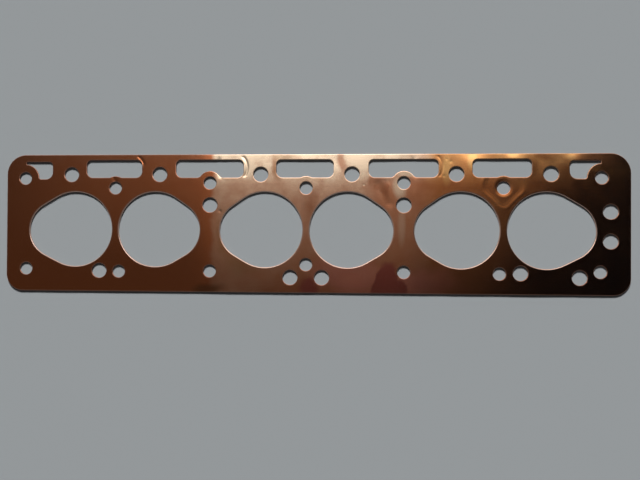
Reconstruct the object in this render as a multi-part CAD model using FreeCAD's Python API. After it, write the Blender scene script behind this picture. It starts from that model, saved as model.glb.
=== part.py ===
"""Cylinder head gasket for an engine with six cylinders in line, punched from one copper sheet.

The sheet lies flat. X runs along the engine, Y across it towards the side with the slots,
and Z is up. The shape is drawn about the engine's middle, on the line through the cylinder
centres, and is then moved so that the origin is under the middle of the sheet's own box.
"""
import FreeCAD, Part
import math
import os

# Sheet, in millimetres.
THICKNESS = 1.6
SLOT_SIDE_CORNER = 22.0
PLAIN_SIDE_CORNER = 19.0
LEFT_END_LAND = 27.1
RIGHT_END_LAND = 36.7
SLOT_LAND = 16.0
SLOT_WIDTH = 20.0
SLOT_RIM = 6.0
PLAIN_SIDE_LAND = 28.0

# Combustion openings: a circle over the cylinder with a blunt nose over the valves.
# The nose points away from the middle of the pair and droops a little towards the plain side.
BORE_RADIUS = 42.0
PAIR_BRIDGE = 8.2
PAIR_LAND = 23.3
NOSE_REACH = 8.4
NOSE_FLANK_ANGLE = 57.5
END_NOSE_REACH = 10.9
END_NOSE_FLANK_ANGLE = 61.5
NOSE_DROOP = 2.0

# Stud holes. A place across the sheet is given from the edge of the cylinder circle.
STUD_HOLE_RADIUS = 7.15
MIDDLE_STUD_BEYOND_BORE = 4.5
BETWEEN_STUD_BEYOND_BORE = 10.1
CORNER_STUD_BEYOND_BORE = 15.6
CORNER_STUD_BEYOND_NOSE = 5.7
PLAIN_CENTRE_STUD_INSIDE_BORE = 3.3
PLAIN_BETWEEN_STUD_BEYOND_BORE = 4.5
PLAIN_PAIR_STUD_BEYOND_BORE = 5.5
PLAIN_PAIR_STUD_INWARD = 4.3
PLAIN_CORNER_STUD_BEYOND_BORE = 2.8
PLAIN_CORNER_STUD_INWARD = 1.4

# Water and oil holes.
WATER_HOLE_RADIUS = 8.35
WATER_BEYOND_SLOT_EDGE = 3.7
WATER_TOWARDS_NOSE = 4.8
UPPER_WATER_BELOW_STUD = 24.7
PLAIN_PAIR_WATER_BEYOND_BORE = 4.7
PLAIN_PAIR_WATER_OUTWARD = 18.3
PLAIN_CENTRE_WATER_BEYOND_BORE = 11.1
PLAIN_CENTRE_WATER_OUTWARD = 17.6
CORNER_WATER_INWARD = 23.3
CORNER_WATER_BEYOND_BORE = 9.2
END_WATER_FROM_END = 21.4
END_WATER_UP = 20.7
END_WATER_DOWN = 11.6

# Slots. Each lies between two water holes, and the land round a stud stands into it.
SLOT_TO_WATER = 19.0
MIDDLE_SLOT_SHIFT = -1.5
BETWEEN_SLOT_SHIFT = -0.5
SLOT_RIM_CORNER = 5.4
SLOT_BORE_CORNER = 7.0
STUD_LAND_INTO_SLOT = 1.7
STUD_LAND_BLEND = 6.0

# End pockets. The land round the corner stud cuts into each and leaves a pointed tip.
LEFT_POCKET_TO_WATER = 22.2
RIGHT_POCKET_TO_WATER = 20.0
POCKET_RIM_STEP = 1.8
POCKET_BORE_STEP = 1.6
POCKET_FLANK_RADIUS = 15.5
POCKET_TIP_INWARD = 1.0
POCKET_RIM_CORNER = 4.5
POCKET_BORE_CORNER = 8.0
POCKET_FLANK_CORNER = 2.5
POCKET_TIP_CORNER = 1.0

# The copper turns down over the top of every edge, in a slope as wide as it is high.
EDGE_SLOPE = 0.4

# Mark pressed into the land round the right pair's slot-side stud, and a dish round its hole.
MARK_DEPTH = 0.3
MARK_RADIUS = 20.0
MARK_BEYOND_BORE = 8.5
MARK_BELOW_SLOT = 4.0
MARK_FLANK = 1.5
DISH_DEPTH = 0.3
DISH_WIDTH = 4.0

# Creases: shallow round grooves. Their places are given from the slot end or stud beside them.
CREASE_DEPTH = 0.3
CREASE_ROUND = 4.0
CORNER_CREASE = [(-4.6, 4.2), (-0.2, -0.2), (2.6, -5.9)]
SLOT_END_CREASE = [(-0.5, 3.6), (4.4, -8.0), (0.8, -19.0)]
BORE_CREASE = [(-29.0, 2.0), (-23.5, -11.0), (-14.2, -25.5)]

# Places along the engine.
BORE_PITCH = 2 * BORE_RADIUS + PAIR_BRIDGE
PAIR_PITCH = BORE_PITCH + 2 * BORE_RADIUS + 2 * NOSE_REACH + PAIR_LAND
BETWEEN_X = PAIR_PITCH / 2
END_NOSE_X = PAIR_PITCH + BORE_PITCH / 2 + BORE_RADIUS + END_NOSE_REACH
CORNER_STUD_X = END_NOSE_X + CORNER_STUD_BEYOND_NOSE
LEFT_X = -END_NOSE_X - LEFT_END_LAND
RIGHT_X = END_NOSE_X + RIGHT_END_LAND
WATER_OFFSET = BORE_PITCH / 2 + WATER_TOWARDS_NOSE

# Places across the engine, from the line through the cylinder centres.
SLOT_BORE_Y = BORE_RADIUS + SLOT_LAND
SLOT_RIM_Y = SLOT_BORE_Y + SLOT_WIDTH
TOP_Y = SLOT_RIM_Y + SLOT_RIM
BOTTOM_Y = -BORE_RADIUS - PLAIN_SIDE_LAND
MIDDLE_STUD_Y = BORE_RADIUS + MIDDLE_STUD_BEYOND_BORE
BETWEEN_STUD_Y = BORE_RADIUS + BETWEEN_STUD_BEYOND_BORE
CORNER_STUD_Y = BORE_RADIUS + CORNER_STUD_BEYOND_BORE
WATER_Y = SLOT_BORE_Y + WATER_BEYOND_SLOT_EDGE

# Every stud beside a slot has the same land, which for the middle studs just enters the slot.
STUD_LAND_RADIUS = SLOT_BORE_Y - MIDDLE_STUD_Y + STUD_LAND_INTO_SLOT


# Two points nearer than this are one.
SAME_PLACE = 0.001


def point(x, y):
    return FreeCAD.Vector(x, y, 0)


def turned(x, y, radius, degrees):
    """The point on a circle about x, y at an angle from +X."""
    angle = math.radians(degrees)
    return point(x + radius * math.cos(angle), y + radius * math.sin(angle))


def line(start, end):
    return Part.LineSegment(start, end).toShape()


def arc(x, y, radius, start, end):
    """The arc about x, y from one angle to another, in degrees, turning left."""
    middle = turned(x, y, radius, (start + end) / 2)
    return Part.Arc(turned(x, y, radius, start), middle, turned(x, y, radius, end)).toShape()


def punch(edges):
    """A solid that cuts right through the sheet, from a closed outline."""
    tool = Part.Face(Part.Wire(edges)).extrude(FreeCAD.Vector(0, 0, 3 * THICKNESS))
    tool.translate(FreeCAD.Vector(0, 0, -THICKNESS))
    return tool


def round_punch(x, y, radius):
    return punch([Part.makeCircle(radius, point(x, y))])


def rounded_rectangle(left, bottom, right, top, top_corner, bottom_corner):
    """Edges of a rectangle with one radius at its two top corners and one at its two bottom ones."""
    high, low = top - top_corner, bottom + bottom_corner
    return [
        line(point(left + bottom_corner, bottom), point(right - bottom_corner, bottom)),
        arc(right - bottom_corner, low, bottom_corner, 270, 360),
        line(point(right, low), point(right, high)),
        arc(right - top_corner, high, top_corner, 0, 90),
        line(point(right - top_corner, top), point(left + top_corner, top)),
        arc(left + top_corner, high, top_corner, 90, 180),
        line(point(left, high), point(left, low)),
        arc(left + bottom_corner, low, bottom_corner, 180, 270),
    ]


def combustion_punch(x, side, reach, flank_angle):
    """Circle and nose joined by two straight flanks that touch both arcs.

    The nose arc's centre lies towards the side, so far that its tip is reach beyond the circle.
    """
    share = math.cos(math.radians(flank_angle))
    nose_offset = reach / (1 - share)
    nose_radius = BORE_RADIUS + reach - nose_offset
    turn = -NOSE_DROOP if side > 0 else 180 + NOSE_DROOP
    start, end = turn + flank_angle, turn + 360 - flank_angle
    nose = turned(x, 0, nose_offset, turn)
    return punch([
        arc(x, 0, BORE_RADIUS, start, end),
        line(turned(x, 0, BORE_RADIUS, end), turned(nose.x, nose.y, nose_radius, end)),
        arc(nose.x, nose.y, nose_radius, end - 360, start),
        line(turned(nose.x, nose.y, nose_radius, start), turned(x, 0, BORE_RADIUS, start)),
    ])


def combustion_punches():
    """Six openings in three pairs. The outermost two have a longer nose."""
    tools = []
    for pair in (-1, 0, 1):
        for side in (-1, 1):
            x = pair * PAIR_PITCH + side * BORE_PITCH / 2
            if pair == side:
                tools.append(combustion_punch(x, side, END_NOSE_REACH, END_NOSE_FLANK_ANGLE))
            else:
                tools.append(combustion_punch(x, side, NOSE_REACH, NOSE_FLANK_ANGLE))
    return tools


def stud_punches():
    """Fourteen studs: seven along the slot side and seven along the plain side."""
    places = [(0, MIDDLE_STUD_Y), (0, PLAIN_CENTRE_STUD_INSIDE_BORE - BORE_RADIUS)]
    for side in (-1, 1):
        places += [
            (side * BETWEEN_X, BETWEEN_STUD_Y),
            (side * PAIR_PITCH, MIDDLE_STUD_Y),
            (side * CORNER_STUD_X, CORNER_STUD_Y),
            (side * BETWEEN_X, -BORE_RADIUS - PLAIN_BETWEEN_STUD_BEYOND_BORE),
            (side * (PAIR_PITCH - PLAIN_PAIR_STUD_INWARD), -BORE_RADIUS - PLAIN_PAIR_STUD_BEYOND_BORE),
            (side * (CORNER_STUD_X - PLAIN_CORNER_STUD_INWARD), -BORE_RADIUS - PLAIN_CORNER_STUD_BEYOND_BORE),
        ]
    return [round_punch(x, y, STUD_HOLE_RADIUS) for x, y in places]


def water_punches():
    """Twelve holes that mirror about the engine's middle, and three at the right end alone."""
    places = [
        (RIGHT_X - END_WATER_FROM_END, END_WATER_UP),
        (RIGHT_X - END_WATER_FROM_END, -END_WATER_DOWN),
        (CORNER_STUD_X - CORNER_WATER_INWARD, -BORE_RADIUS - CORNER_WATER_BEYOND_BORE),
    ]
    for side in (-1, 1):
        places += [
            (side * WATER_OFFSET, WATER_Y),
            (side * (PAIR_PITCH - WATER_OFFSET), WATER_Y),
            (side * (PAIR_PITCH + WATER_OFFSET), WATER_Y),
            (side * BETWEEN_X, BETWEEN_STUD_Y - UPPER_WATER_BELOW_STUD),
            (side * PLAIN_CENTRE_WATER_OUTWARD, -BORE_RADIUS - PLAIN_CENTRE_WATER_BEYOND_BORE),
            (side * (PAIR_PITCH + PLAIN_PAIR_WATER_OUTWARD), -BORE_RADIUS - PLAIN_PAIR_WATER_BEYOND_BORE),
        ]
    return [round_punch(x, y, WATER_HOLE_RADIUS) for x, y in places]


def upright_edges(shape, y, x_low, x_high):
    """The upright edges of a punch at one y, between two x."""
    found = []
    for edge in shape.Edges:
        box = edge.BoundBox
        upright = box.XLength + box.YLength < SAME_PLACE
        if upright and abs(box.Center.y - y) < SAME_PLACE and x_low < box.Center.x < x_high:
            found.append(edge)
    return found


def slot_punch(left, right, stud_x, stud_y):
    """A slot with rounded ends, notched by the round land of the stud beside it."""
    slot = punch(rounded_rectangle(left, SLOT_BORE_Y, right, SLOT_RIM_Y, SLOT_RIM_CORNER, SLOT_BORE_CORNER))
    slot = slot.cut(round_punch(stud_x, stud_y, STUD_LAND_RADIUS))
    shoulders = upright_edges(slot, SLOT_BORE_Y, stud_x - STUD_LAND_RADIUS, stud_x + STUD_LAND_RADIUS)
    return slot.makeFillet(STUD_LAND_BLEND, shoulders)


def slot_punches():
    """Five slots: three at the middles of the pairs and two between the pairs."""
    tools = []
    for pair in (-1, 0, 1):
        x = pair * PAIR_PITCH
        left = x - WATER_OFFSET + SLOT_TO_WATER + MIDDLE_SLOT_SHIFT
        right = x + WATER_OFFSET - SLOT_TO_WATER + MIDDLE_SLOT_SHIFT
        tools.append(slot_punch(left, right, x, MIDDLE_STUD_Y))
    for side in (-1, 1):
        x = side * BETWEEN_X
        half = PAIR_PITCH / 2 - WATER_OFFSET - SLOT_TO_WATER
        tools.append(slot_punch(x - half + BETWEEN_SLOT_SHIFT, x + half + BETWEEN_SLOT_SHIFT, x, BETWEEN_STUD_Y))
    return tools


def pocket_punch(pocket_to_water):
    """The right end's pocket: a rounded box cut away round the corner stud."""
    left = PAIR_PITCH + WATER_OFFSET + pocket_to_water
    right = CORNER_STUD_X - POCKET_TIP_INWARD
    top, bottom = SLOT_RIM_Y - POCKET_RIM_STEP, SLOT_BORE_Y - POCKET_BORE_STEP
    low, high = bottom + POCKET_BORE_CORNER, top - POCKET_RIM_CORNER
    box = punch([
        line(point(left + POCKET_BORE_CORNER, bottom), point(right, bottom)),
        line(point(right, bottom), point(right, top)),
        line(point(right, top), point(left + POCKET_RIM_CORNER, top)),
        arc(left + POCKET_RIM_CORNER, high, POCKET_RIM_CORNER, 90, 180),
        line(point(left, high), point(left, low)),
        arc(left + POCKET_BORE_CORNER, low, POCKET_BORE_CORNER, 180, 270),
    ])
    pocket = box.cut(round_punch(CORNER_STUD_X, CORNER_STUD_Y, POCKET_FLANK_RADIUS))
    foot = upright_edges(pocket, bottom, left + POCKET_BORE_CORNER + SAME_PLACE, right)
    pocket = pocket.makeFillet(POCKET_FLANK_CORNER, foot)
    tip = upright_edges(pocket, top, right - SAME_PLACE, right + SAME_PLACE)
    return pocket.makeFillet(POCKET_TIP_CORNER, tip)


def pocket_punches():
    right = pocket_punch(RIGHT_POCKET_TO_WATER)
    left = pocket_punch(LEFT_POCKET_TO_WATER).mirror(point(0, 0), FreeCAD.Vector(1, 0, 0))
    return [left, right]


def disc(x, y, radius):
    return Part.Face(Part.Wire([Part.makeCircle(radius, point(x, y))]))


def mark_outline(flank):
    """The mark's outline about its stud, between the slot and the two combustion openings.

    It keeps clear of them by its own margins, less the width of its sloping flank.
    """
    face = disc(PAIR_PITCH, MIDDLE_STUD_Y, MARK_RADIUS + flank)
    for side in (-1, 1):
        bore_x = PAIR_PITCH + side * BORE_PITCH / 2
        face = face.cut(disc(bore_x, 0, BORE_RADIUS + MARK_BEYOND_BORE - flank))
    top = SLOT_BORE_Y - MARK_BELOW_SLOT + flank
    reach = 2 * MARK_RADIUS
    beyond = Part.makePlane(2 * reach, reach, point(PAIR_PITCH - reach, top))
    return face.cut(beyond).Faces[0].OuterWire


def pressed_mark():
    """The flat-bottomed mark with sloping flanks, and the cone of the dish below it."""
    bottom, top = mark_outline(0), mark_outline(MARK_FLANK)
    bottom.translate(FreeCAD.Vector(0, 0, THICKNESS - MARK_DEPTH))
    top.translate(FreeCAD.Vector(0, 0, THICKNESS))
    mark = Part.makeLoft([bottom, top], True, True)
    dish_place = point(PAIR_PITCH, MIDDLE_STUD_Y) + FreeCAD.Vector(0, 0, THICKNESS - MARK_DEPTH - DISH_DEPTH)
    dish = Part.makeCone(STUD_HOLE_RADIUS, STUD_HOLE_RADIUS + DISH_WIDTH, DISH_DEPTH, dish_place)
    return [mark, dish]


def crease(x, y, places):
    """A round groove along the arc through three places, each given from x, y."""
    lift = FreeCAD.Vector(0, 0, THICKNESS - CREASE_DEPTH + CREASE_ROUND)
    start, middle, end = [point(x + dx, y + dy) + lift for dx, dy in places]
    bend = Part.Arc(start, middle, end)
    path = bend.toShape()
    section = Part.makeCircle(CREASE_ROUND, start, path.tangentAt(path.FirstParameter))
    groove = Part.Wire([path]).makePipeShell([Part.Wire([section])], True, True)
    for tip in (start, end):
        groove = groove.fuse(Part.makeSphere(CREASE_ROUND, tip))
    return groove


def creases():
    """One over the first slot's corner, two round slot ends, and one beside the fourth opening."""
    first_slot_end = -PAIR_PITCH + WATER_OFFSET - SLOT_TO_WATER + MIDDLE_SLOT_SHIFT
    grooves = [
        crease(first_slot_end, SLOT_RIM_Y, CORNER_CREASE),
        crease(BETWEEN_X, BETWEEN_STUD_Y, BORE_CREASE),
    ]
    for side in (-1, 1):
        slot_end = side * BETWEEN_X + PAIR_PITCH / 2 - WATER_OFFSET - SLOT_TO_WATER + BETWEEN_SLOT_SHIFT
        grooves.append(crease(slot_end, SLOT_RIM_Y, SLOT_END_CREASE))
    return grooves


def wall_top_edges(sheet):
    """The upper edge of every upright wall."""
    found = []
    for face in sheet.Faces:
        if face.BoundBox.ZLength < THICKNESS / 4:
            continue
        for edge in face.Edges:
            box = edge.BoundBox
            if box.ZLength < SAME_PLACE and box.ZMin > THICKNESS / 4:
                found.append(edge)
    return found


def gasket():
    sheet_edges = rounded_rectangle(LEFT_X, BOTTOM_Y, RIGHT_X, TOP_Y, SLOT_SIDE_CORNER, PLAIN_SIDE_CORNER)
    sheet = Part.Face(Part.Wire(sheet_edges)).extrude(FreeCAD.Vector(0, 0, THICKNESS))
    tools = combustion_punches() + stud_punches() + water_punches() + slot_punches() + pocket_punches()
    sheet = sheet.cut(tools + pressed_mark())
    sheet = sheet.makeChamfer(EDGE_SLOPE, wall_top_edges(sheet))
    sheet = sheet.cut(creases())
    sheet.translate(FreeCAD.Vector(-(LEFT_X + RIGHT_X) / 2, -(BOTTOM_Y + TOP_Y) / 2, 0))
    return sheet


os.makedirs("parts", exist_ok=True)
shape = gasket()
solid = shape.Solids[0] if shape.Solids else shape
print("solids", len(shape.Solids), "valid", solid.isValid(), "volume", round(solid.Volume, 1))
solid.exportStep("parts/gasket_sheet.step")
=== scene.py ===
"""Looks of a copper cylinder head gasket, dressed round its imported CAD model.

The CAD node gives the outline of the sheet and all its openings. One new piece stands for it:
the same sheet with the copper rolled down over every edge, and with the shallow waves, creases
and press marks of thin sheet metal that has been handled.
"""
import math

import bpy
import numpy as np
from mathutils import Matrix, Vector
from mathutils.geometry import delaunay_2d_cdt


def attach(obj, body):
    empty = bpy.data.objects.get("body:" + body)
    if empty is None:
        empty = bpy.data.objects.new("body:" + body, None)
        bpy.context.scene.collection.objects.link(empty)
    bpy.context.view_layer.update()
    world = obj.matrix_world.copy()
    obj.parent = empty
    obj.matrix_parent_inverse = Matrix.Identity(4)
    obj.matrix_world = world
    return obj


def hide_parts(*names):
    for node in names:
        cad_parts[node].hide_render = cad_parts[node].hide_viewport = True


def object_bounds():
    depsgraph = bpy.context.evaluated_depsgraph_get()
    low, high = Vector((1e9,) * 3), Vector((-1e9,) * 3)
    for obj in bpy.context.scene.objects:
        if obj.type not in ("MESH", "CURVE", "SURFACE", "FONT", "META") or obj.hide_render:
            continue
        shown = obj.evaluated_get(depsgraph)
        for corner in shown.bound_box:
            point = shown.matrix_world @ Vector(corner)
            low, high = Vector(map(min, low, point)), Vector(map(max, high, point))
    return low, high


MM = 0.001

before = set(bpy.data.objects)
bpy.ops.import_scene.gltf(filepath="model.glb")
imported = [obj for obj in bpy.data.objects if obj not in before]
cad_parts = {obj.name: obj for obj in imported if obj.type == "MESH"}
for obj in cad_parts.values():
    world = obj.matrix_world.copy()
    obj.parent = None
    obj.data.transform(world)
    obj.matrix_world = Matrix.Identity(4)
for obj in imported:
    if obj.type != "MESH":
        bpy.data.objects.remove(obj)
cad_low, cad_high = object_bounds()

# Camera, fitted to the places of the stud holes in the photograph.
CAMERA_PLACE = Vector((54.1, -25.6, 721.0)) * MM
CAMERA_AIM = Vector((10.9, -18.4, 0.0)) * MM
CAMERA_ROLL = math.radians(0.29)
CAMERA_LENS = 36.56
SENSOR_WIDTH = 36.0

# Copper rolled down over the edges: the width of the roll, of the flat beside it and of the land
# that stays between two rolls. The roll round the six combustion openings is wider, and they are
# the outlines whose length round lies between two limits.
EDGE_ROLL = 0.36 * MM
EDGE_ROLL_STEPS = 4
EDGE_FLAT = 0.5 * MM
BETWEEN_ROLLS = 3 * EDGE_FLAT
BORE_ROLL = 0.9 * MM
BORE_FALL = 0.8 * MM
BORE_LENGTH_ROUND = (200 * MM, 500 * MM)

# Spacing of the mesh's points: along the outlines, over the sheet and round its dents. The grid
# keeps a gap from the edges. Edges of the mesh above an angle are shaded sharp.
OUTLINE_STEP = 1.6 * MM
GRID_STEP = 2.5 * MM
FINE_STEP = 0.9 * MM
FINE_MARGIN = 4.0 * MM
GRID_CLEARANCE = 0.6 * FINE_STEP
SHARP_ANGLE = math.radians(40)

# Mesh work: below which distance two heights or two places are the same, which triangles are
# asked for, how many places are tested at a time to save memory, and how many doublings reach
# round the longest outline.
SAME_HEIGHT = 0.01 * MM
SAME_PLACE = 1e-7
WITHIN_OUTLINES = 1
PLACES_AT_ONCE = 2000
DOUBLINGS = 16

# The top of the sheet waves and dents downwards only, from the CAD model's flat top.
REST_DEPTH = 0.16 * MM

# Waves: the height, and how far each goes along and across the sheet in one radian of its sine.
CHEQUER_WAVE = (0.04 * MM, 24 * MM, 30 * MM)
LONG_WAVE = (0.04 * MM, 41 * MM, -70 * MM)
SHORT_WAVE = (0.02 * MM, 13.5 * MM, 21 * MM)
RIM_WAVE = (0.04 * MM, 10.5 * MM)

# Mark pressed round the right pair's stud hole, the wrinkles along its border, and the dish round
# the hole itself.
STUD = np.array([211.5, 39.5]) * MM
STUD_HOLE_RADIUS = 7.15 * MM
BORE_CENTRES = np.array([[165.4, -7.0], [257.6, -7.0]]) * MM
BORE_RADIUS = 42.0 * MM
MARK_RADIUS = 20.0 * MM
MARK_BEYOND_BORE = 8.5 * MM
MARK_FLANK = 2.2 * MM
MARK_DEPTH = 0.12 * MM
MARK_ROUNDING = 2.0 * MM
WRINKLE_GAP = 3.6 * MM
WRINKLE_HALF_WIDTH = 0.9 * MM
WRINKLE_HEIGHT = 0.05 * MM
DISH_WIDTH = 3.5 * MM
DISH_DEPTH = 0.15 * MM

# Creases: the start, middle and end of an arc, its half width and its depth, in millimetres.
CREASES = [
    ((-195.3, 75.2), (-190.9, 70.8), (-188.1, 65.1), 1.6, 0.28),
    ((-75.7, 74.6), (-70.8, 63.0), (-74.4, 52.0), 1.4, 0.16),
    ((140.6, 74.6), (145.5, 63.0), (141.9, 52.0), 1.4, 0.09),
    ((74.3, 47.1), (79.8, 34.1), (89.1, 19.6), 4.2, 0.16),
]

# Small dents: place, radius and depth, in millimetres.
DENTS = [
    (-101.6, 13.7, 1.6, 0.14),
    (59.4, 42.6, 1.1, 0.06),
    (154.6, 68.3, 1.7, 0.05),
    (146.9, 52.4, 1.5, 0.05),
    (149.6, 71.2, 1.0, 0.04),
    (178.0, 85.0, 11.0, 0.52),
    (221.0, 86.0, 9.0, 0.50),
    (284.0, 86.0, 9.0, 0.50),
    (106.0, 70.0, 8.0, 0.08),
    (-88.0, 69.0, 8.0, 0.08),
    (-26.0, 68.0, 8.0, 0.08),
    (30.0, 70.0, 9.0, 0.08),
    (86.0, 47.0, 4.0, 0.07),
    (48.0, -55.0, 12.0, 0.10),
    (-52.0, -52.0, 11.0, 0.08),
]

# Stains, and the red patches of a painted reflection, as ellipses: the middle, half width and
# half height in millimetres, the turn in degrees, and the softness of the border as a share of the
# ellipse.
# Dark red patches by the foot edge: a painted reflection.
PAINTED_RED_REFLECTIONS = [
    ((84, -66), (12, 27), -12, 0.12),
    ((99, -72), (8, 13), 0, 0.2),
    ((-3, -70), (12, 9), 15, 0.5),
]
ROSE_STAINS = [
    ((48, -58), (44, 20), -6, 0.5),
    ((120, -66), (40, 14), 0, 0.5),
]
BROWN_STAINS = [
    ((-113, -72), (16, 6), 6, 0.6),
    ((243, 64), (9, 12), 0, 0.8),
    ((252, 75), (13, 6), 0, 0.7),
]
OLIVE_STAINS = [
    ((-38, 62), (4, 12), 0, 0.7),
    ((-30, 74), (9, 4), 0, 0.8),
    ((-78, -44), (16, 12), 0, 0.8),
    ((-96, -10), (6, 22), 0, 0.8),
]
STRAW_STAINS = [
    ((150, 58), (9, 22), 0, 0.4),
    ((203, 73), (16, 5), 0, 0.6),
    ((228, 75), (7, 4), 0, 0.6),
]

# Spots where the brown film is thicker, where it is half worn, and where it is rubbed off; the
# pale bare spots near the rim and on small dents are partly painted glints.
FILM_SPOTS = [
    ((80, 38), (5, 13), 24, 0.5),
    ((73, 46), (6, 6), 0, 0.7),
    ((36, 70), (5, 10), 10, 0.7),
    ((0, 20), (8, 12), 0, 1.0),
    ((-38, 62), (5, 12), 0, 0.8),
    ((314, 72), (26, 10), 0, 0.6),
]
WORN_SPOTS = [
    ((101, -2), (5, 24), 0, 0.8),
    ((-92, 34), (9, 22), 0, 0.8),
]
BARE_AND_GLINT_SPOTS = [
    ((98, 40), (7, 13), 12, 0.7),
    ((106, 55), (13, 4), 0, 0.7),
    ((150, 62), (6, 17), 0, 0.7),
    ((178, 71), (7, 13), 0, 0.6),
    ((222, 75), (9, 4), 0, 0.6),
    ((284, 73), (7, 5), 0, 0.7),
    ((154.6, 68.3), (1.9, 1.5), 0, 0.5),
    ((150.8, 64.6), (1.4, 1.1), 0, 0.5),
    ((146.9, 52.4), (1.9, 1.3), 0, 0.5),
    ((149.6, 71.2), (1.3, 1.3), 0, 0.5),
    ((59.4, 42.6), (1.4, 1.2), 0, 0.5),
]

# Share of bare metal from the sheet's foot edge (0) to its rim (1), in three zones along it, and
# the share that the worn and the bare spots have at least. The pale bare metal is partly wear and
# partly painted highlight, which rises towards the rim on the window's side.
BARE_AND_HIGHLIGHT_AT_LEFT = [(0.0, 0.0), (0.77, 0.03), (0.9, 0.04), (1.0, 0.08)]
BARE_AND_HIGHLIGHT_IN_MIDDLE = [(0.0, 0.2), (0.5, 0.25), (0.77, 0.5), (0.93, 1.0)]
BARE_AND_HIGHLIGHT_AT_RIGHT = [(0.0, 0.08), (0.5, 0.18), (0.77, 0.14), (0.97, 0.5)]
RUBBED_AND_GLINT_SHARES = ((WORN_SPOTS, 0.4), (BARE_AND_GLINT_SPOTS, 0.8))

# Where those zones begin and end, in millimetres: across the sheet from foot to rim, along it at
# the left, along a slanting line at the right, and along it where the straw film begins.
FOOT_TO_RIM = {"From_Min": -77, "From_Max": 77}
LEFT_ZONE_ENDS = {"From_Min": -114, "From_Max": -105}
RIGHT_ZONE_SLANT = (1, -1.1, 0)
RIGHT_ZONE_STARTS = {"From_Min": 5, "From_Max": 60}
STRAW_STARTS = {"From_Min": 118, "From_Max": 142}

# Patterns on the copper, in millimetres: how far the films' borders can wander from side to side
# and over what length, the size of the mottling, and the length and spacing of the hairlines of
# the rolls.
DRIFT_REACH = 26
DRIFT_LENGTH = 30
MOTTLE_SIZE = 16
HAIRLINE_LENGTH = 60
HAIRLINE_SPACING = 0.4

# Colours of the copper: bare, bare under a straw film, under brown and rose films, and worn bare
# on the rolled edges. Spots and stains lie over them, each with its strength and its tint; the red
# patches among them are a painted reflection.
BARE_COPPER = "#F7D9B9"
STRAW_COPPER = "#F2BC78"
BROWN_FILM = "#BC6738"
ROSE_FILM = "#DC7C61"
WORN_EDGE = "#F5D6C6"
WORN_SHARE = 0.75
STAIN_AND_REFLECTION_TINTS = (
    (FILM_SPOTS, 0.7, "#A4603F"),
    (OLIVE_STAINS, 0.45, "#A8784A"),
    (BROWN_STAINS, 0.8, "#86502A"),
    (PAINTED_RED_REFLECTIONS, 1.0, "#AE5847"),
)

# Floor and ceiling: their sizes and places in metres, and the floor's colour.
FLOOR_REACH = 12
FLOOR_GAP = 0.05 * MM
FLOOR_COLOUR = "#929698"
CEILING_LOW = (-1.7, -0.8)
CEILING_HIGH = (1.9, 0.65)
CEILING_HEIGHT = 1.5

# Brightness of the ceiling: the least of its left part, its middle from the room's side (0) to
# the window's side (1), and the share that is left from the middle (0) to the dark right part (1).
CEILING_LEFT_LEVEL = 0.095
CEILING_RISE = [
    (0.0, 0.09),
    (0.09, 0.12),
    (0.17, 0.165),
    (0.33, 0.29),
    (0.48, 0.4),
    (0.55, 0.68),
    (0.6, 0.92),
    (0.7, 2.8),
]
CEILING_SHADE = [
    (0.02, 1),
    (0.08, 0.86),
    (0.15, 0.75),
    (0.22, 0.68),
    (0.27, 0.63),
    (0.33, 0.56),
    (0.4, 0.45),
    (0.54, 0.31),
    (0.62, 0.14),
    (0.72, 0.035),
    (1, 0.05),
]

# Where the ceiling's brightness changes, in millimetres: the middle's rise, how the left part
# grows along the ceiling and climbs towards the window, the step between the two, and on the
# right the first wane, the turn of the slanting line near the window, the shade beyond that line,
# and the far end.
CEILING_MIDDLE_RISES = {"From_Min": -250, "From_Max": 650}
CEILING_LEFT_GROWS = {"From_Min": -1200, "From_Max": -600, "To_Max": 1}
CEILING_LEFT_CLIMBS = {"From_Min": -60, "From_Max": 340, "To_Max": 0.22}
CEILING_STEP = {"From_Min": -500, "From_Max": -450}
CEILING_WANES = {"From_Min": 150, "From_Max": 320, "To_Min": 1, "To_Max": 0.7}
CEILING_SLANT = (0.92, -0.4, 0)
CEILING_SLANT_TURNS = {"From_Min": 190, "From_Max": 390, "To_Max": -200}
CEILING_SHADES = {"From_Min": 220, "From_Max": 770}
CEILING_FAR_END = {"From_Min": 785, "From_Max": 855, "To_Min": 1, "To_Max": 0.4}

# Share of the floor's light that comes from the window, its height, size and bearing.
WINDOW_LIGHT = 0.97
WINDOW_ELEVATION = math.radians(24)
WINDOW_SPREAD = math.radians(9)
WINDOW_TURN = math.radians(6)

# Level of the world as a light, as the camera sees it, and as the metal mirrors it: from the
# room's side to the window's side, and low over the horizon.
WORLD_LIGHT = 0.06
WORLD_SEEN = 0.8
WORLD_SIDES = {"From_Min": 0.1, "From_Max": 0.8, "To_Min": 0.14, "To_Max": 1.3}
WORLD_HORIZON = 0.45
WORLD_HORIZON_STARTS = {"From_Min": 0.55, "From_Max": 0.3}
WORLD_COLOUR = "#F0F2F4"

# Settings of nodes that are used again and again.
SMOOTH = {"interpolation_type": "SMOOTHSTEP"}
COLOURS = {"data_type": "RGBA"}
TIMES = {"operation": "MULTIPLY"}
PLUS = {"operation": "ADD"}
LARGER = {"operation": "MAXIMUM"}
TIMES_PLUS = {"operation": "MULTIPLY_ADD"}
DOT_PRODUCT = {"operation": "DOT_PRODUCT"}
SCALED = {"operation": "SCALE"}


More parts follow.
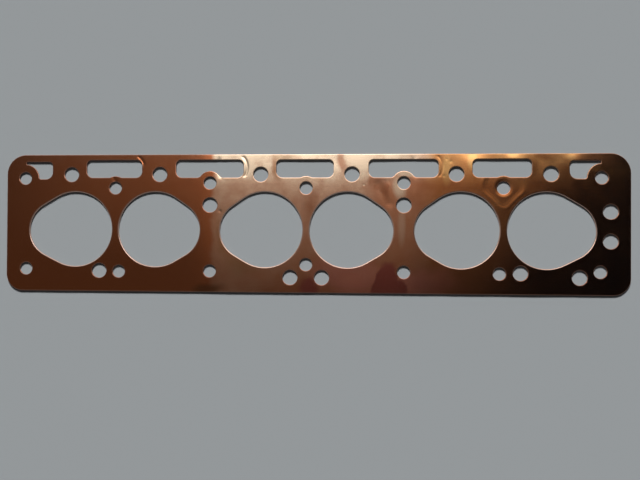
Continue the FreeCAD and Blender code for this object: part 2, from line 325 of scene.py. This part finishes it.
def make_camera():
    """A camera from its place, the point it looks at and its roll about that line."""
    ahead = (CAMERA_AIM - CAMERA_PLACE).normalized()
    up = Vector((-math.sin(CAMERA_ROLL), math.cos(CAMERA_ROLL), 0))
    right = ahead.cross(up).normalized()
    up = right.cross(ahead)
    data = bpy.data.cameras.new("camera")
    data.lens = CAMERA_LENS
    data.sensor_width = SENSOR_WIDTH
    data.clip_start = 0.01
    data.clip_end = 50
    camera = bpy.data.objects.new("camera", data)
    turn = Matrix((right, up, -ahead)).transposed().to_4x4()
    camera.matrix_world = Matrix.Translation(CAMERA_PLACE) @ turn
    bpy.context.scene.collection.objects.link(camera)
    bpy.context.scene.camera = camera


def merged_mesh(obj):
    """Corner points of a node's mesh with equal ones merged, and its triangles."""
    data = obj.data
    corners = np.empty(len(data.vertices) * 3)
    data.vertices.foreach_get("co", corners)
    data.calc_loop_triangles()
    triangles = np.empty(len(data.loop_triangles) * 3, np.int32)
    data.loop_triangles.foreach_get("vertices", triangles)
    micrometres = np.round(corners.reshape(-1, 3) * 1e6).astype(np.int64)
    merged, same = np.unique(micrometres, axis=0, return_inverse=True)
    return merged * 1e-6, same.ravel()[triangles].reshape(-1, 3)


def outline_sides(obj):
    """Start and end points of every side of the underside's outlines, with the sheet on their left.

    A side of a flat triangle lies on an outline when no other flat triangle has it the other way.
    """
    corners, triangles = merged_mesh(obj)
    below = corners[:, 2] < cad_low.z + SAME_HEIGHT
    flat = triangles[below[triangles].all(axis=1)]
    ends = np.concatenate([flat[:, [0, 1]], flat[:, [1, 2]], flat[:, [2, 0]]])
    forward = ends[:, 0] * len(corners) + ends[:, 1]
    backward = ends[:, 1] * len(corners) + ends[:, 0]
    end, start = ends[~np.isin(forward, backward)].T
    return corners[:, :2], start, end


def outline_points(obj):
    """Points spaced evenly round every outline, and the number of the point that follows each.

    Each side becomes a cubic curve. Its tangent at a corner runs from the corner before to the
    corner after, so that round openings are smooth and long straight edges stay straight.
    """
    corners, start, end = outline_sides(obj)
    before = np.empty(len(corners), int)
    after = np.empty(len(corners), int)
    before[end] = start
    after[start] = end
    side = corners[end] - corners[start]
    length = np.linalg.norm(side, axis=1)

    def tangent(corner):
        across = corners[after[corner]] - corners[before[corner]]
        return across / np.linalg.norm(across, axis=1)[:, None]

    parts = np.ceil(length / OUTLINE_STEP).astype(int)
    first = np.concatenate([[0], np.cumsum(parts)[:-1]])
    which = np.repeat(np.arange(len(parts)), parts)
    step = np.arange(len(which)) - first[which]
    t = (step / parts[which])[:, None]
    a, b = corners[start][which], corners[end][which]
    leave = tangent(start)[which] * length[which][:, None]
    arrive = tangent(end)[which] * length[which][:, None]
    points = (
        (2 * t**3 - 3 * t**2 + 1) * a
        + (t**3 - 2 * t**2 + t) * leave
        + (3 * t**2 - 2 * t**3) * b
        + (t**3 - t**2) * arrive
    )
    side_from = np.empty(len(corners), int)
    side_from[start] = np.arange(len(start))
    last = step == parts[which] - 1
    following = np.where(last, first[side_from[end[which]]], np.arange(len(which)) + 1)
    return np.clip(points, cad_low.xy, cad_high.xy), following


def inside(places, a, b):
    """Which places lie inside the outlines: a line towards +X crosses an odd number of sides."""
    found = []
    for some in np.array_split(places, max(1, len(places) // PLACES_AT_ONCE)):
        y = some[:, 1, None]
        spans = (a[:, 1] > y) != (b[:, 1] > y)
        rise = np.where(b[:, 1] == a[:, 1], 1, b[:, 1] - a[:, 1])
        x = a[:, 0] + (y - a[:, 1]) * (b[:, 0] - a[:, 0]) / rise
        found.append((spans & (x > some[:, 0, None])).sum(axis=1) % 2 == 1)
    return np.concatenate(found)


def clear_of(places, points, gap):
    """Which places lie further from every point than that point's gap."""
    found = []
    for some in np.array_split(places, max(1, len(places) // PLACES_AT_ONCE)):
        apart = (some[:, None, :] - points[None]) ** 2
        found.append((apart.sum(axis=2) - gap**2).min(axis=1) > 0)
    return np.concatenate(found)


def fill(points, following, extra):
    """Triangles that fill the sheet between its outlines, through the extra points."""
    count = len(points)
    places = np.concatenate([points, extra]) if len(extra) else points
    sides = np.column_stack([np.arange(count), following])
    vectors = [Vector(place) for place in places]
    result = delaunay_2d_cdt(vectors, sides.tolist(), [], WITHIN_OUTLINES, SAME_PLACE)
    kept, triangles = result[0], np.array([list(face) for face in result[2]])
    if len(kept) != len(places):
        raise ValueError("two outline points of the sheet fell together")
    centre = places[triangles].mean(axis=1)
    return triangles[inside(centre, points, points[following])]


def length_round(points, following):
    """Length round the outline that each point belongs to.

    The lowest number of a point ahead becomes the outline's number. Each pass looks twice as far.
    """
    number = np.arange(len(points))
    ahead = following
    for _ in range(DOUBLINGS):
        number = np.minimum(number, number[ahead])
        ahead = ahead[ahead]
    side = np.linalg.norm(points[following] - points, axis=1)
    return np.bincount(number, side, len(points))[number]


def edge_rolls(points, following):
    """Width and fall of the rolled edge at each point: wider round the six combustion openings.

    The wide roll narrows where another edge is near.
    """
    low, high = BORE_LENGTH_ROUND
    length = length_round(points, following)
    large = (length > low) & (length < high)
    apart = np.hypot(*(points[large][:, None] - points[~large][None]).transpose(2, 0, 1)).min(axis=1)
    spare = apart - EDGE_ROLL - BETWEEN_ROLLS
    width = np.full(len(points), EDGE_ROLL)
    width[large] = np.clip(spare, EDGE_ROLL, BORE_ROLL)
    return width, np.minimum(width, BORE_FALL)


def soft_step(value, low, high):
    """0 below low, 1 above high, and a smooth S between them."""
    part = np.clip((value - low) / (high - low), 0, 1)
    return part * part * (3 - 2 * part)


def wave(x, y):
    """Height of the shallow waves: a chequer of two sines, two slanting sines, and a rim wave.

    The rim wave is a sine along the sheet times the cube of the place across it, so that it is
    strongest at the rim. Each sine starts at a phase of its own.
    """
    height, along, across = CHEQUER_WAVE
    total = height * np.sin(x / along + 1.0) * np.sin(y / across + 0.6)
    height, along, across = LONG_WAVE
    total += height * np.sin(x / along + y / across + 2.0)
    height, along, across = SHORT_WAVE
    total += height * np.sin(x / along + y / across)
    height, along = RIM_WAVE
    return total + height * np.sin(x / along + 0.5) * (y / cad_high.y) ** 3


def mark(x, y):
    """Depth of the pressed mark: flat inside its borders, sloping up over its flank.

    The borders are a circle about the stud and circles about the two openings beside it. They
    run up to the slot, and a soft minimum rounds the corners where they meet. Two fine wrinkles,
    bells in section, follow the border. The dish is an S-shaped slope round the stud hole.
    """
    from_stud = np.hypot(x - STUD[0], y - STUD[1])
    closeness = np.exp((from_stud - MARK_RADIUS) / MARK_ROUNDING)
    for centre in BORE_CENTRES:
        from_bore = np.hypot(x - centre[0], y - centre[1])
        closeness += np.exp((BORE_RADIUS + MARK_BEYOND_BORE - from_bore) / MARK_ROUNDING)
    margin = -MARK_ROUNDING * np.log(closeness)
    pressed = MARK_DEPTH * soft_step(margin, -MARK_FLANK, 0)
    for shift in (0, WRINKLE_GAP):
        pressed -= WRINKLE_HEIGHT * np.exp(-(((margin + shift) / WRINKLE_HALF_WIDTH) ** 2))
    dish_edge = STUD_HOLE_RADIUS + DISH_WIDTH
    return pressed + DISH_DEPTH * (1 - soft_step(from_stud, STUD_HOLE_RADIUS, dish_edge))


def arc_of(a, b, c):
    """Centre and radius of the circle through three points."""
    a, b, c = (np.array(p) * MM for p in (a, b, c))
    sides = 2 * np.array([b - a, c - a])
    centre = np.linalg.solve(sides, [b @ b - a @ a, c @ c - a @ a])
    return centre, np.linalg.norm(a - centre)


def crease(x, y, start, middle, end, half_width, depth):
    """Depth of a groove along an arc: a bell across it, which fades out beyond its two ends."""
    centre, radius = arc_of(start, middle, end)
    across = np.hypot(x - centre[0], y - centre[1]) - radius
    start, end = np.array(start) * MM, np.array(end) * MM
    half_width *= MM
    chord = end - start
    length = np.linalg.norm(chord)
    along = ((x - start[0]) * chord[0] + (y - start[1]) * chord[1]) / length
    ends = soft_step(along, -half_width, half_width)
    ends *= 1 - soft_step(along, length - half_width, length + half_width)
    return depth * MM * np.exp(-((across / half_width) ** 2)) * ends


def sink(x, y):
    """How far the top of the sheet lies below its full height, in metres."""
    depth = REST_DEPTH - wave(x, y) + mark(x, y)
    for values in CREASES:
        depth = depth + crease(x, y, *values)
    for dent_x, dent_y, radius, dent_depth in DENTS:
        away = np.hypot(x - dent_x * MM, y - dent_y * MM) / (radius * MM)
        depth = depth + dent_depth * MM * np.exp(-(away**2))
    return np.maximum(depth, 0)


def grid(step, low, high):
    """Points on a square grid between two corners."""
    x, y = np.meshgrid(np.arange(low[0], high[0], step), np.arange(low[1], high[1], step))
    return np.column_stack([x.ravel(), y.ravel()])


def detail_boxes():
    """Low and high corner of each region that has dents and needs a finer grid."""
    boxes = [(STUD - MARK_RADIUS - MARK_FLANK, STUD + MARK_RADIUS + MARK_FLANK)]
    for start, middle, end, *_ in CREASES:
        corners = np.array([start, middle, end]) * MM
        boxes.append((corners.min(axis=0) - FINE_MARGIN, corners.max(axis=0) + FINE_MARGIN))
    for dent in DENTS:
        centre = np.array(dent[:2]) * MM
        boxes.append((centre - FINE_MARGIN, centre + FINE_MARGIN))
    return boxes


def grid_points():
    """A coarse grid over the whole sheet, with a fine one in its place round every dent."""
    points = grid(GRID_STEP, cad_low.xy, cad_high.xy)
    for low, high in detail_boxes():
        outside = ((points < low) | (points > high)).any(axis=1)
        points = np.concatenate([points[outside], grid(FINE_STEP, low, high)])
    return points


def make_sheet():
    """The dressed sheet, as one closed mesh.

    Its top is the function sink() over a grid of points. Round every outline a profile is
    carried: a narrow flat, a quarter ellipse down over the edge, and the wall to the underside.
    The attribute rolled_edge is 1 on the widest roll, less on a narrower one and 0 on the top.
    """
    points, following = outline_points(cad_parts["gasket_sheet"])
    before = np.empty(len(points), int)
    before[following] = np.arange(len(points))
    along = points[following] - points[before]
    along /= np.linalg.norm(along, axis=1)[:, None]
    inwards = np.column_stack([-along[:, 1], along[:, 0]])

    width, fall = edge_rolls(points, following)
    angle = np.linspace(0, math.pi / 2, EDGE_ROLL_STEPS + 1)[:, None]
    offset = np.vstack([width + EDGE_FLAT, width * (1 - np.sin(angle))])
    drop = np.vstack([0 * fall, fall * (1 - np.cos(angle))])
    rings = points + offset[..., None] * inwards
    ring_count, count = len(rings), len(points)

    inner = grid_points()
    inner = inner[inside(inner, points, points[following])]
    inner = inner[clear_of(inner, points, width + EDGE_FLAT + GRID_CLEARANCE)]
    top = fill(rings[0], following, inner)
    underside = fill(points, following, inner[:0])

    height = cad_high.z - cad_low.z
    level = height - sink(rings[..., 0], rings[..., 1]) - drop
    floor_ring = np.column_stack([points, np.zeros(count)])
    ring_places = np.concatenate([rings, level[..., None]], axis=2).reshape(-1, 3)
    inner = np.column_stack([inner, height - sink(*inner.T)])
    places = np.concatenate([ring_places, floor_ring, inner])
    places[:, 2] += cad_low.z

    own = np.arange(count)
    upper = np.arange(ring_count)[:, None] * count
    lower = upper + count
    strips = np.stack([lower + own, lower + following, upper + following, upper + own], axis=2)
    top = np.where(top < count, top, top + ring_count * count)
    underside = underside[:, ::-1] + ring_count * count
    faces = strips.reshape(-1, 4).tolist() + top.tolist() + underside.tolist()

    data = bpy.data.meshes.new("copper_sheet")
    data.from_pydata(places.tolist(), [], faces)
    data.update()
    data.validate()
    data.polygons.foreach_set("use_smooth", np.ones(len(data.polygons), bool))
    data.set_sharp_from_angle(angle=SHARP_ANGLE)
    rolled = np.zeros(len(places), np.float32)
    rolled[count : (ring_count + 1) * count] = np.tile(width / BORE_ROLL, ring_count)
    data.attributes.new("rolled_edge", "FLOAT", "POINT").data.foreach_set("value", rolled)
    sheet = bpy.data.objects.new("copper_sheet", data)
    bpy.context.scene.collection.objects.link(sheet)
    return sheet


def srgb(text):
    """Linear colour with alpha from an sRGB hex value."""
    values = [int(text[i : i + 2], 16) / 255 for i in (1, 3, 5)]
    linear = [v / 12.92 if v <= 0.04045 else ((v + 0.055) / 1.055) ** 2.4 for v in values]
    return (*linear, 1.0)


def node(tree, kind, settings=None, **links):
    """Adds a node with its settings. A link or value goes to the input of its name.

    An underscore stands for a space, and in_0 is the first input, in_1 the second and so on.
    """
    added = tree.nodes.new(kind)
    for name, value in (settings or {}).items():
        setattr(added, name, value)
    for name, value in links.items():
        name = name.replace("_", " ")
        socket = added.inputs[int(name[3:])] if name.startswith("in ") else added.inputs[name]
        if isinstance(value, bpy.types.NodeSocket):
            tree.links.new(value, socket)
        else:
            socket.default_value = value
    return added


def new_material(name):
    """An empty material, and its node tree with a Principled shader."""
    material = bpy.data.materials.new(name)
    material.use_nodes = True
    tree = material.node_tree
    tree.nodes.clear()
    shader = node(tree, "ShaderNodeBsdfPrincipled")
    output = node(tree, "ShaderNodeOutputMaterial")
    tree.links.new(shader.outputs["BSDF"], output.inputs["Surface"])
    return material, tree, shader


def ellipse_mask(tree, place, spots):
    """Mask that is 1 inside a few ellipses and fades to 0 round them.

    They stand so tall that the height of a place doesn't count.
    """
    mask = 0.0
    for middle, half, turn, softness in spots:
        own = node(
            tree,
            "ShaderNodeMapping",
            {"vector_type": "TEXTURE"},
            Vector=place,
            Location=(*middle, 0),
            Rotation=(0, 0, math.radians(turn)),
            Scale=(*half, 1 / MM),
        )
        away = node(tree, "ShaderNodeVectorMath", {"operation": "LENGTH"}, in_0=own.outputs[0])
        spot = node(
            tree,
            "ShaderNodeMapRange",
            SMOOTH,
            Value=away.outputs["Value"],
            From_Min=1 + softness,
            From_Max=1 - softness,
        )
        mask = node(tree, "ShaderNodeMath", LARGER, in_0=spot.outputs[0], in_1=mask).outputs[0]
    return mask


def profile(tree, rise, stops):
    """Value that follows the given stops as rise goes from 0 to 1."""
    ramp = node(tree, "ShaderNodeValToRGB", Fac=rise)
    for _ in stops[2:]:
        ramp.color_ramp.elements.new(1.0)
    for element, (position, value) in zip(ramp.color_ramp.elements, stops):
        element.position = position
        element.color = (value, value, value, 1)
    return ramp.outputs["Color"]


def rolled_copper():
    """Thin copper sheet, rolled smooth: bright bare metal in the middle, a brown film elsewhere.

    The eye sees a soft mirror. It is pale pink where hands and tools have rubbed the film away,
    and towards the rim this paleness is partly painted highlight. It is orange brown where the film
    of age is whole.
    """
    material, tree, shader = new_material("rolled_copper")
    place = node(tree, "ShaderNodeTexCoord").outputs["Object"]
    place = node(tree, "ShaderNodeVectorMath", SCALED, in_0=place, Scale=1 / MM).outputs[0]

    # Borders of the films wander by a few millimetres.
    drift = node(
        tree, "ShaderNodeTexNoise", Vector=place, Scale=1 / DRIFT_LENGTH, Detail=4, Roughness=0.55
    )
    centred = {"operation": "SUBTRACT"}
    drift = drift.outputs["Color"]
    drift = node(tree, "ShaderNodeVectorMath", centred, in_0=drift, in_1=(0.5, 0.5, 0.5))
    moved = node(
        tree,
        "ShaderNodeVectorMath",
        TIMES_PLUS,
        in_0=drift.outputs[0],
        in_1=(DRIFT_REACH, DRIFT_REACH, 0),
        in_2=place,
    ).outputs[0]
    parts = node(tree, "ShaderNodeSeparateXYZ", Vector=moved)
    x, y = parts.outputs["X"], parts.outputs["Y"]

    # Bare metal shows in three zones: the left one ends at a line across the sheet, and the right
    # one begins along a slanting line. Its share rises towards the rim, partly as painted highlight.
    rise = node(tree, "ShaderNodeMapRange", Value=y, **FOOT_TO_RIM).outputs[0]
    left = profile(tree, rise, BARE_AND_HIGHLIGHT_AT_LEFT)
    middle = profile(tree, rise, BARE_AND_HIGHLIGHT_IN_MIDDLE)
    right = profile(tree, rise, BARE_AND_HIGHLIGHT_AT_RIGHT)
    edge = node(tree, "ShaderNodeMapRange", SMOOTH, Value=x, **LEFT_ZONE_ENDS)
    slant = node(tree, "ShaderNodeVectorMath", DOT_PRODUCT, in_0=moved, in_1=RIGHT_ZONE_SLANT)
    slant = slant.outputs["Value"]
    fade = node(tree, "ShaderNodeMapRange", SMOOTH, Value=slant, **RIGHT_ZONE_STARTS)
    bare_and_highlight = node(tree, "ShaderNodeMix", Factor=edge.outputs[0], A=left, B=middle)
    bare_and_highlight = node(tree, "ShaderNodeMix", Factor=fade.outputs[0], A=bare_and_highlight.outputs[0], B=right)

    # Finger-sized mottling, and spots worn or rubbed bare; the bare ones are partly painted glints.
    mottle = node(
        tree, "ShaderNodeTexNoise", Vector=place, Scale=1 / MOTTLE_SIZE, Detail=5, Roughness=0.6
    )
    change = node(tree, "ShaderNodeMapRange", Value=mottle.outputs["Fac"], To_Min=0.3, To_Max=1.7)
    bare_and_highlight = node(
        tree,
        "ShaderNodeMath",
        {"operation": "MULTIPLY", "use_clamp": True},
        in_0=bare_and_highlight.outputs[0],
        in_1=change.outputs[0],
    )
    for spots, share in RUBBED_AND_GLINT_SHARES:
        rubbed_and_glint = node(tree, "ShaderNodeMath", TIMES, in_0=ellipse_mask(tree, place, spots), in_1=share)
        bare_and_highlight = node(tree, "ShaderNodeMath", LARGER, in_0=bare_and_highlight.outputs[0], in_1=rubbed_and_glint.outputs[0])

    # Colour of the bare metal, which has a straw film at the right, and of the film elsewhere.
    yellow = node(tree, "ShaderNodeMapRange", SMOOTH, Value=x, **STRAW_STARTS).outputs[0]
    straw = node(tree, "ShaderNodeMath", LARGER, in_0=yellow, in_1=ellipse_mask(tree, moved, STRAW_STAINS))
    metal = node(
        tree,
        "ShaderNodeMix",
        COLOURS,
        Factor=straw.outputs[0],
        in_6=srgb(BARE_COPPER),
        in_7=srgb(STRAW_COPPER),
    ).outputs[2]
    film = node(
        tree,
        "ShaderNodeMix",
        COLOURS,
        Factor=ellipse_mask(tree, moved, ROSE_STAINS),
        in_6=srgb(BROWN_FILM),
        in_7=srgb(ROSE_FILM),
    ).outputs[2]
    copper = node(tree, "ShaderNodeMix", COLOURS, Factor=bare_and_highlight.outputs[0], in_6=film, in_7=metal)
    copper = copper.outputs[2]
    # Stains and spots tint the copper; the red patches are a painted reflection.
    for spots, strength, tint in STAIN_AND_REFLECTION_TINTS:
        share = node(tree, "ShaderNodeMath", TIMES, in_0=ellipse_mask(tree, moved, spots), in_1=strength)
        share, tint = share.outputs[0], srgb(tint)
        copper = node(tree, "ShaderNodeMix", COLOURS, Factor=share, in_6=copper, in_7=tint).outputs[2]

    # The film is worn off the rolled edges.
    worn = node(tree, "ShaderNodeAttribute", {"attribute_name": "rolled_edge"}).outputs["Fac"]
    worn = node(tree, "ShaderNodeMath", TIMES, in_0=worn, in_1=WORN_SHARE).outputs[0]
    edge = srgb(WORN_EDGE)
    copper = node(tree, "ShaderNodeMix", COLOURS, Factor=worn, in_6=copper, in_7=edge).outputs[2]
    tree.links.new(copper, shader.inputs["Base Color"])
    shader.inputs["Metallic"].default_value = 1.0

    # Hairline marks of the rolls run along the sheet.
    hairlines = (1 / HAIRLINE_LENGTH, 1 / HAIRLINE_SPACING, 1)
    lines = node(tree, "ShaderNodeMapping", Vector=place, Scale=hairlines).outputs[0]
    lines = node(tree, "ShaderNodeTexNoise", Vector=lines, Scale=1, Detail=2).outputs["Fac"]
    rough = node(tree, "ShaderNodeMapRange", Value=mottle.outputs["Fac"], To_Min=0.06, To_Max=0.16)
    streak = node(tree, "ShaderNodeMapRange", Value=lines, To_Min=-0.03, To_Max=0.05)
    rough = node(
        tree,
        "ShaderNodeMath",
        {"operation": "ADD", "use_clamp": True},
        in_0=rough.outputs[0],
        in_1=streak.outputs[0],
    )
    tree.links.new(rough.outputs[0], shader.inputs["Roughness"])
    grain = node(tree, "ShaderNodeBump", Height=lines, Strength=0.15, Distance=0.004 * MM)
    tree.links.new(grain.outputs[0], shader.inputs["Normal"])

    # A thin dull coat stands for the grease and dust on it, which lift its darkest parts.
    shader.inputs["Coat Weight"].default_value = 0.15
    shader.inputs["Coat Roughness"].default_value = 0.5
    return material


def floor_paper():
    """Plain paper under the sheet. The eye sees an even, matt, pale grey."""
    material, tree, shader = new_material("floor_paper")
    shader.inputs["Base Color"].default_value = srgb(FLOOR_COLOUR)
    shader.inputs["Roughness"].default_value = 0.9
    shader.inputs["Specular IOR Level"].default_value = 0.2
    return material


def make_plane(name, low, high, z, material, facing_down=False):
    """A level rectangle between two corners, at the height z."""
    corners = [(low[0], low[1], z), (high[0], low[1], z), (high[0], high[1], z), (low[0], high[1], z)]
    data = bpy.data.meshes.new(name)
    data.from_pydata(corners, [], [(3, 2, 1, 0) if facing_down else (0, 1, 2, 3)])
    data.materials.append(material)
    plane = bpy.data.objects.new(name, data)
    bpy.context.scene.collection.objects.link(plane)
    return plane


def ceiling_light():
    """Pale ceiling of the room, which the sheet mirrors.

    It is brightest on the window's side and falls off towards the room. A step in it shows
    between the left part and the middle. Its right part grows dark across a slanting line and
    is darkest at the far end.
    """
    material = bpy.data.materials.new("ceiling_light")
    material.use_nodes = True
    tree = material.node_tree
    tree.nodes.clear()
    place = node(tree, "ShaderNodeTexCoord").outputs["Object"]
    place = node(tree, "ShaderNodeVectorMath", SCALED, in_0=place, Scale=1 / MM).outputs[0]
    parts = node(tree, "ShaderNodeSeparateXYZ", Vector=place)
    x, y = parts.outputs["X"], parts.outputs["Y"]

    # The middle rises towards the window, and the left part towards the window and the middle.
    rise = node(tree, "ShaderNodeMapRange", Value=y, **CEILING_MIDDLE_RISES).outputs[0]
    centre = profile(tree, rise, CEILING_RISE)
    grow = node(tree, "ShaderNodeMapRange", Value=x, **CEILING_LEFT_GROWS)
    climb = node(tree, "ShaderNodeMapRange", Value=y, **CEILING_LEFT_CLIMBS)
    left = node(
        tree,
        "ShaderNodeMath",
        TIMES_PLUS,
        in_0=grow.outputs[0],
        in_1=climb.outputs[0],
        in_2=CEILING_LEFT_LEVEL,
    )
    step = node(tree, "ShaderNodeMapRange", SMOOTH, Value=x, **CEILING_STEP)
    glow = node(tree, "ShaderNodeMix", Factor=step.outputs[0], A=left.outputs[0], B=centre)

    # The light wanes right of the middle, again across a slanting line that turns near the
    # window, and once more at the far end.
    wane = node(tree, "ShaderNodeMapRange", SMOOTH, Value=x, **CEILING_WANES)
    across = node(tree, "ShaderNodeVectorMath", DOT_PRODUCT, in_0=place, in_1=CEILING_SLANT)
    turn = node(tree, "ShaderNodeMapRange", Value=y, **CEILING_SLANT_TURNS)
    across = node(tree, "ShaderNodeMath", PLUS, in_0=across.outputs["Value"], in_1=turn.outputs[0])
    across = node(tree, "ShaderNodeMapRange", Value=across.outputs[0], **CEILING_SHADES)
    shade = profile(tree, across.outputs[0], CEILING_SHADE)
    far = node(tree, "ShaderNodeMapRange", SMOOTH, Value=x, **CEILING_FAR_END)
    for share in (wane.outputs[0], shade, far.outputs[0]):
        glow = node(tree, "ShaderNodeMath", TIMES, in_0=glow.outputs[0], in_1=share)
    emission = node(tree, "ShaderNodeEmission", Color=srgb("#FFFFFF"), Strength=glow.outputs[0])
    output = node(tree, "ShaderNodeOutputMaterial")
    tree.links.new(emission.outputs[0], output.inputs["Surface"])
    return material


def make_window():
    """Light of a far window: soft, low over the floor, and the same all over it.

    The metal mirrors the window's side of the world instead of the lamp itself.
    """
    data = bpy.data.lights.new("window", "SUN")
    data.energy = WINDOW_LIGHT * math.pi / math.sin(WINDOW_ELEVATION)
    data.angle = WINDOW_SPREAD
    window = bpy.data.objects.new("window", data)
    window.rotation_euler = (WINDOW_ELEVATION - math.pi / 2, 0, WINDOW_TURN)
    window.visible_glossy = False
    bpy.context.scene.collection.objects.link(window)


def make_world():
    """Pale studio all round, as the camera and the metal see it, which adds only a little light."""
    world = bpy.data.worlds.new("studio")
    bpy.context.scene.world = world
    world.use_nodes = True
    tree = world.node_tree
    tree.nodes.clear()
    rays = node(tree, "ShaderNodeLightPath")
    toward = node(tree, "ShaderNodeTexCoord").outputs["Generated"]
    toward = node(tree, "ShaderNodeSeparateXYZ", Vector=toward)
    side = node(tree, "ShaderNodeMapRange", SMOOTH, Value=toward.outputs["Y"], **WORLD_SIDES)
    low = node(tree, "ShaderNodeMapRange", SMOOTH, Value=toward.outputs["Z"], **WORLD_HORIZON_STARTS)
    horizon = node(tree, "ShaderNodeMath", LARGER, in_0=side.outputs[0], in_1=WORLD_HORIZON)
    glossy = node(tree, "ShaderNodeMix", Factor=low.outputs[0], A=side.outputs[0], B=horizon.outputs[0])
    level = node(
        tree, "ShaderNodeMix", Factor=rays.outputs["Is Glossy Ray"], A=WORLD_LIGHT, B=glossy.outputs[0]
    )
    level = node(
        tree, "ShaderNodeMix", Factor=rays.outputs["Is Camera Ray"], A=level.outputs[0], B=WORLD_SEEN
    )
    back = node(tree, "ShaderNodeBackground", Color=srgb(WORLD_COLOUR), Strength=level.outputs[0])
    output = node(tree, "ShaderNodeOutputWorld")
    tree.links.new(back.outputs["Background"], output.inputs["Surface"])


make_camera()
sheet = make_sheet()
sheet.data.materials.append(rolled_copper())
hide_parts("gasket_sheet")
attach(sheet, "root")

floor_low, floor_high = (-FLOOR_REACH, -FLOOR_REACH), (FLOOR_REACH, FLOOR_REACH)
make_plane("floor", floor_low, floor_high, cad_low.z - FLOOR_GAP, floor_paper())

# Only the metal sees the ceiling: it neither lights nor shades the floor.
ceiling = make_plane(
    "ceiling", CEILING_LOW, CEILING_HIGH, CEILING_HEIGHT, ceiling_light(), facing_down=True
)
ceiling.visible_camera = False
ceiling.visible_diffuse = False
ceiling.visible_shadow = False
make_world()
make_window()

bpy.context.scene.view_settings.view_transform = "Standard"
